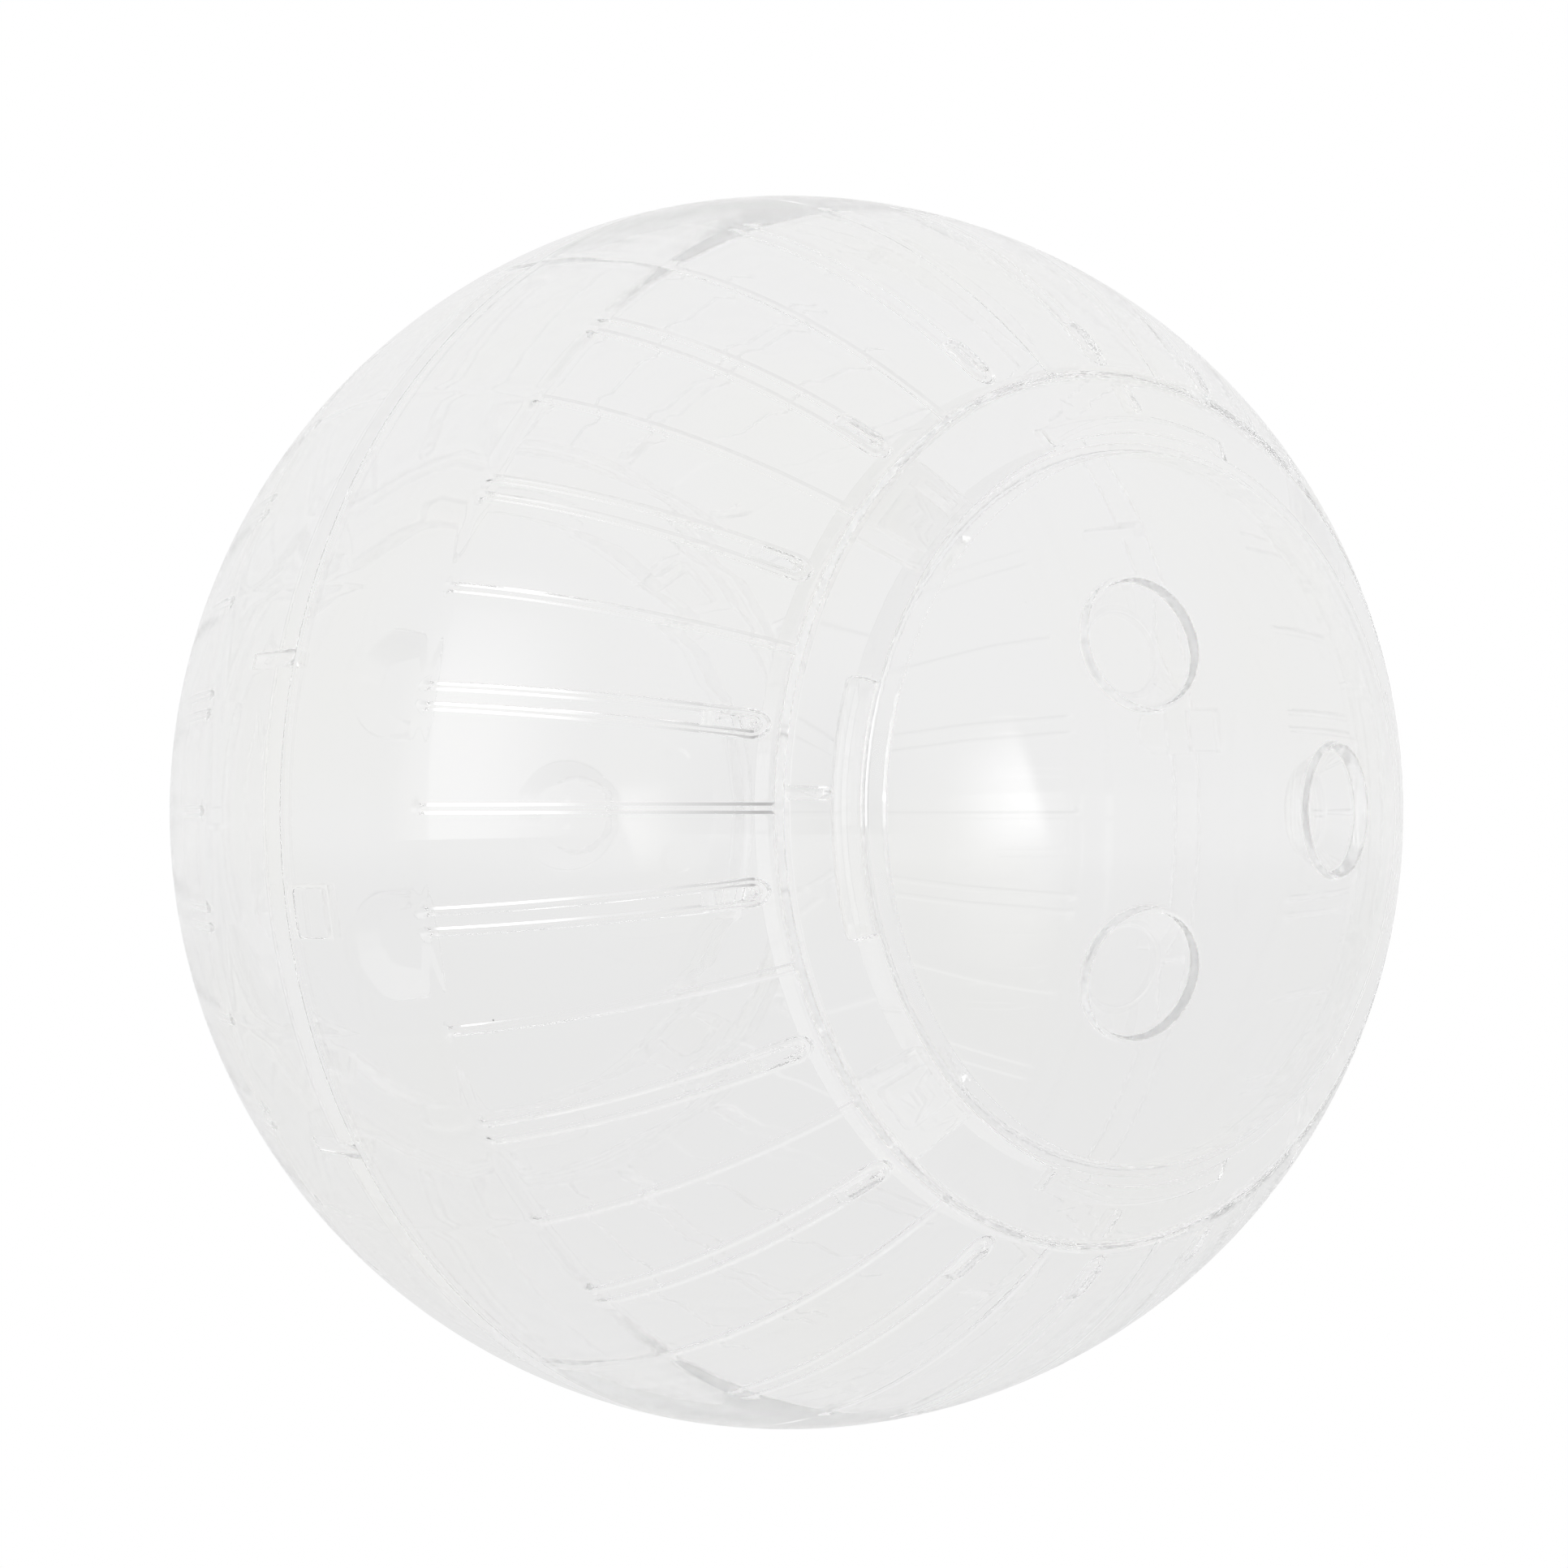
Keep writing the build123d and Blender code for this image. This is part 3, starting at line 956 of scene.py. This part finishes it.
def ramp(tree, value, start, end, low=0.0, high=1.0):
    """A smooth change from low to high while a value goes from start to end."""
    node = tree.nodes.new("ShaderNodeMapRange")
    node.interpolation_type = "SMOOTHSTEP"
    for name, number in (("From Min", start), ("From Max", end), ("To Min", low), ("To Max", high)):
        node.inputs[name].default_value = number
    tree.links.new(value, node.inputs["Value"])
    return node.outputs["Result"]


def product(tree, first, second):
    """Two values multiplied."""
    node = tree.nodes.new("ShaderNodeMath")
    node.operation = "MULTIPLY"
    tree.links.new(first, node.inputs[0])
    tree.links.new(second, node.inputs[1])
    return node.outputs["Value"]


def blend(tree, kind, share, first, second):
    """A mix of two values or colours, each given as a socket or as it is."""
    node = tree.nodes.new("ShaderNodeMix")
    node.data_type = kind
    for name, value in (("Factor", share), ("A", first), ("B", second)):
        if isinstance(value, bpy.types.NodeSocket):
            tree.links.new(value, node.inputs[name])
        else:
            node.inputs[name].default_value = value
    return node.outputs["Result"]


def noise(tree, where, size, detail=2):
    """A noise pattern with a given spacing."""
    node = tree.nodes.new("ShaderNodeTexNoise")
    node.inputs["Scale"].default_value = 1 / size
    node.inputs["Detail"].default_value = detail
    tree.links.new(where, node.inputs["Vector"])
    return node.outputs["Fac"]


def stretched(tree, where, factors):
    """Coordinates stretched along their axes."""
    node = tree.nodes.new("ShaderNodeMapping")
    node.inputs["Scale"].default_value = factors
    tree.links.new(where, node.inputs["Vector"])
    return node.outputs["Vector"]


def plastic_colour(tree, where, finish):
    """Nearly colourless plastic with faintly yellow areas and a few specks."""
    stained = ramp(tree, noise(tree, where, finish.stain_size), *STAIN_RANGE)
    clear = blend(tree, "RGBA", stained, (*finish.tint, 1), (*finish.stain, 1))
    cells = tree.nodes.new("ShaderNodeTexVoronoi")
    cells.inputs["Scale"].default_value = 1 / finish.speck_spacing
    tree.links.new(where, cells.inputs["Vector"])
    edge = finish.speck_size / finish.speck_spacing
    specks = ramp(tree, cells.outputs["Distance"], edge, edge / 2)
    return blend(tree, "RGBA", specks, clear, SPECK_COLOUR)


def plastic_surface(tree, where, finish):
    """Normals with the waves of moulding and hairline scratches."""
    normal = None
    along = stretched(tree, where, SCRATCH_STRETCH)
    patterns = (
        (noise(tree, where, finish.ripple_size), finish.ripple_height),
        (noise(tree, along, finish.scratch_size, 1), finish.ripple_height / WAVES_PER_SCRATCH),
    )
    for pattern, height in patterns:
        bump = tree.nodes.new("ShaderNodeBump")
        bump.inputs["Strength"].default_value = 1
        bump.inputs["Distance"].default_value = height
        tree.links.new(pattern, bump.inputs["Height"])
        if normal:
            tree.links.new(normal, bump.inputs["Normal"])
        normal = bump.outputs["Normal"]
    return normal


def clear_plastic():
    """The clear plastic of every moulding."""
    found = bpy.data.materials.get("clear_plastic_look")
    if found:
        return found
    finish = bpy.context.scene.hamster_ball.plastic
    material = bpy.data.materials.new("clear_plastic_look")
    material.use_nodes = True
    tree = material.node_tree
    shader = tree.nodes["Principled BSDF"]
    where = tree.nodes.new("ShaderNodeTexCoord").outputs["Object"]
    tree.links.new(plastic_colour(tree, where, finish), shader.inputs["Base Color"])
    tree.links.new(plastic_surface(tree, where, finish), shader.inputs["Normal"])
    waves = noise(tree, where, finish.ripple_size)
    polish = ramp(tree, waves, *POLISH_RANGE, finish.roughness / 2, finish.roughness)
    tree.links.new(polish, shader.inputs["Roughness"])
    shader.inputs["IOR"].default_value = finish.refraction
    shader.inputs["Transmission Weight"].default_value = 1
    # Light caught in a wall gets out after many bounces, and most light from the far walls goes on straight.
    rays = tree.nodes.new("ShaderNodeLightPath")
    stay = ramp(tree, rays.outputs["Ray Depth"], finish.caught_light, 2 * finish.caught_light, 1, 0)
    far = ramp(tree, rays.outputs["Transmission Depth"], 1, 2, 1, 1 - finish.far_clearness)
    leaving = tree.nodes.new("ShaderNodeNewGeometry").outputs["Backfacing"]
    tree.links.new(blend(tree, "FLOAT", leaving, 1, product(tree, stay, far)), shader.inputs["Alpha"])
    return material


# Stage

# Angles in degrees to the left of the camera and above it, then metres, then the shares of the card that fade.
Card = namedtuple("Card", "left lift distance width height fades lean")
LEFT_CARD = Card(54, 4, 1.2, 0.95, 1.8, fades=(0.3, 0.6, 0.4, 0.4), lean=0)
RIGHT_CARD = Card(-33.1, 2.4, 0.5, 0.165, 0.22, fades=(0.85, 0.15, 0.35, 0.5), lean=17)
CAMERA_CARD = Card(0, 0, 1.25, 1.33, 1.33, fades=(0.5, 0.5, 0.5, 0.5), lean=0)
SENSOR_WIDTH = 36
SKY_RISE = 0.5
FLOOR_RADIUS = 12
FLOOR_SEGMENTS = 96
FLOOR_FADE = 3


def toward(stage, left, lift):
    """Direction from the ball, by angles to the left of the camera and above it."""
    around = -math.pi / 2 - stage.yaw - left
    return Vector((math.cos(around) * math.cos(lift), math.sin(around) * math.cos(lift), math.sin(lift)))


def white_to_camera(tree, value, white):
    """A light's value, or plain white where the camera looks at it straight."""
    rays = tree.nodes.new("ShaderNodeLightPath")
    return blend(tree, "FLOAT", rays.outputs["Is Camera Ray"], value, white)


def glow(name):
    """A material that gives white light, and its tree and strength."""
    material = bpy.data.materials.new(name)
    material.use_nodes = True
    tree = material.node_tree
    tree.nodes.clear()
    light = tree.nodes.new("ShaderNodeEmission")
    out = tree.nodes.new("ShaderNodeOutputMaterial")
    tree.links.new(light.outputs["Emission"], out.inputs["Surface"])
    return material, tree, light.inputs["Strength"]


def stage_piece(name, bm, material):
    """A piece of the stage, which isn't part of the object."""
    mesh = bpy.data.meshes.new(name)
    bm.to_mesh(mesh)
    bm.free()
    mesh.materials.append(material)
    piece = bpy.data.objects.new(name, mesh)
    bpy.context.scene.collection.objects.link(piece)
    return piece


def card(stage, eye, name, plan, strength):
    """A flat light that faces the ball, fades into the room at its sides and keeps its place by the camera."""
    heading = toward(stage, math.radians(plan.left), math.radians(plan.lift))
    facing = heading.to_track_quat("Z", "Y").to_matrix().to_4x4()
    lean = Matrix.Rotation(math.radians(plan.lean), 3, "Z")
    bm = bmesh.new()
    bm.loops.layers.uv.new("UVMap")
    bmesh.ops.create_grid(bm, x_segments=1, y_segments=1, size=0.5, calc_uvs=True)
    bmesh.ops.scale(bm, vec=(plan.width, plan.height, 1), verts=bm.verts)
    bmesh.ops.rotate(bm, cent=(0, 0, 0), matrix=lean, verts=bm.verts)
    bm.transform(Matrix.Translation(heading * plan.distance) @ facing)
    material, tree, power = glow(name)
    where = tree.nodes.new("ShaderNodeTexCoord")
    split = tree.nodes.new("ShaderNodeSeparateXYZ")
    tree.links.new(where.outputs["UV"], split.inputs["Vector"])
    near, far, low, high = plan.fades
    x, y = split.outputs["X"], split.outputs["Y"]
    across = product(tree, ramp(tree, x, 0, near), ramp(tree, x, 1, 1 - far))
    upright = product(tree, ramp(tree, y, 0, low), ramp(tree, y, 1, 1 - high))
    tree.links.new(blend(tree, "FLOAT", product(tree, across, upright), stage.horizon_light, strength), power)
    piece = stage_piece(name, bm, material)
    piece.parent = eye
    piece.matrix_parent_inverse = eye.matrix_world.inverted()


def camera(stage):
    """The camera of the photograph."""
    back = toward(stage, 0, stage.pitch)
    data = bpy.data.cameras.new("photo_camera")
    data.sensor_width = SENSOR_WIDTH
    data.lens = stage.lens
    data.shift_x = -stage.ball_right / PICTURE_SIDE
    data.shift_y = stage.ball_down / PICTURE_SIDE
    eye = bpy.data.objects.new("photo_camera", data)
    eye.location = back * stage.camera_distance
    eye.rotation_mode = "QUATERNION"
    eye.rotation_quaternion = (-back).to_track_quat("-Z", "Y")
    bpy.context.scene.collection.objects.link(eye)
    bpy.context.scene.camera = eye
    bpy.context.view_layer.update()
    return eye


def room(stage):
    """A pale room, a little lighter above, which the camera itself sees as white paper."""
    world = bpy.data.worlds.new("pale_room")
    world.use_nodes = True
    tree = world.node_tree
    shade = tree.nodes["Background"]
    shade.inputs["Color"].default_value = (1, 1, 1, 1)
    where = tree.nodes.new("ShaderNodeTexCoord")
    split = tree.nodes.new("ShaderNodeSeparateXYZ")
    tree.links.new(where.outputs["Generated"], split.inputs["Vector"])
    lift = ramp(tree, split.outputs["Z"], 0, SKY_RISE, stage.horizon_light, stage.sky_light)
    tree.links.new(white_to_camera(tree, lift, stage.paper_light), shade.inputs["Strength"])
    bpy.context.scene.world = world


def floor(stage):
    """A glowing floor under the ball: plain white to the camera, and to the ball a painted floor light, dimmer near
    it, that runs into the room's light far away.
    """
    material, tree, power = glow("floor_glow")
    where = tree.nodes.new("ShaderNodeTexCoord")
    reach = tree.nodes.new("ShaderNodeVectorMath")
    reach.operation = "LENGTH"
    tree.links.new(where.outputs["Object"], reach.inputs[0])
    # Painted floor light: the floor's glow is dimmer near the ball and rises to the room's brightness far away.
    level = ramp(tree, reach.outputs["Value"], 0, FLOOR_FADE, stage.floor_light, stage.horizon_light)
    tree.links.new(white_to_camera(tree, level, stage.paper_light), power)
    bm = bmesh.new()
    bmesh.ops.create_circle(bm, cap_ends=True, segments=FLOOR_SEGMENTS, radius=FLOOR_RADIUS)
    bmesh.ops.translate(bm, vec=(0, 0, CAD_BOX[0].z), verts=bm.verts)
    stage_piece("floor", bm, material)


class STAGE_OT_build(bpy.types.Operator):
    """Build the floor, the lights and the camera"""

    bl_idname = "hamster_ball.stage"
    bl_label = "Stage"

    def execute(self, context):
        stage = context.scene.hamster_ball.stage
        eye = camera(stage)
        room(stage)
        floor(stage)
        card(stage, eye, "left_light", LEFT_CARD, stage.left_light)
        card(stage, eye, "right_light", RIGHT_CARD, stage.right_light)
        card(stage, eye, "camera_side", CAMERA_CARD, stage.camera_side)
        context.scene.view_settings.view_transform = "Standard"
        context.scene.view_settings.look = "None"
        cycles = context.scene.cycles
        cycles.max_bounces = cycles.transmission_bounces = cycles.glossy_bounces = LIGHT_BOUNCES
        cycles.transparent_max_bounces = LIGHT_BOUNCES
        return {"FINISHED"}


class BALL_PT_sidebar(bpy.types.Panel):
    """Lists the steps that build the ball"""

    bl_idname = "BALL_PT_sidebar"
    bl_label = "Hamster Ball"
    bl_space_type = "VIEW_3D"
    bl_region_type = "UI"
    bl_category = "Hamster Ball"

    def draw(self, context):
        for operator in OPERATORS:
            self.layout.operator(operator.bl_idname)


OPERATORS = (HALF_OT_build, DOOR_OT_build, STAGE_OT_build)
CLASSES = (ShellSizes, DoorSizes, PlasticFinish, StageSettings, BallSettings, *OPERATORS, BALL_PT_sidebar)


def register():
    """Adds the settings, the operators and the panel to Blender."""
    for cls in CLASSES:
        bpy.utils.register_class(cls)
    bpy.types.Scene.hamster_ball = PointerProperty(type=BallSettings)


def unregister():
    """Takes them out again."""
    del bpy.types.Scene.hamster_ball
    for cls in reversed(CLASSES):
        bpy.utils.unregister_class(cls)


def main():
    """Builds the ball and its stage."""
    register()
    bpy.ops.hamster_ball.half_shells()
    bpy.ops.hamster_ball.doors()
    bpy.ops.hamster_ball.stage()


if __name__ == "__main__":
    main()
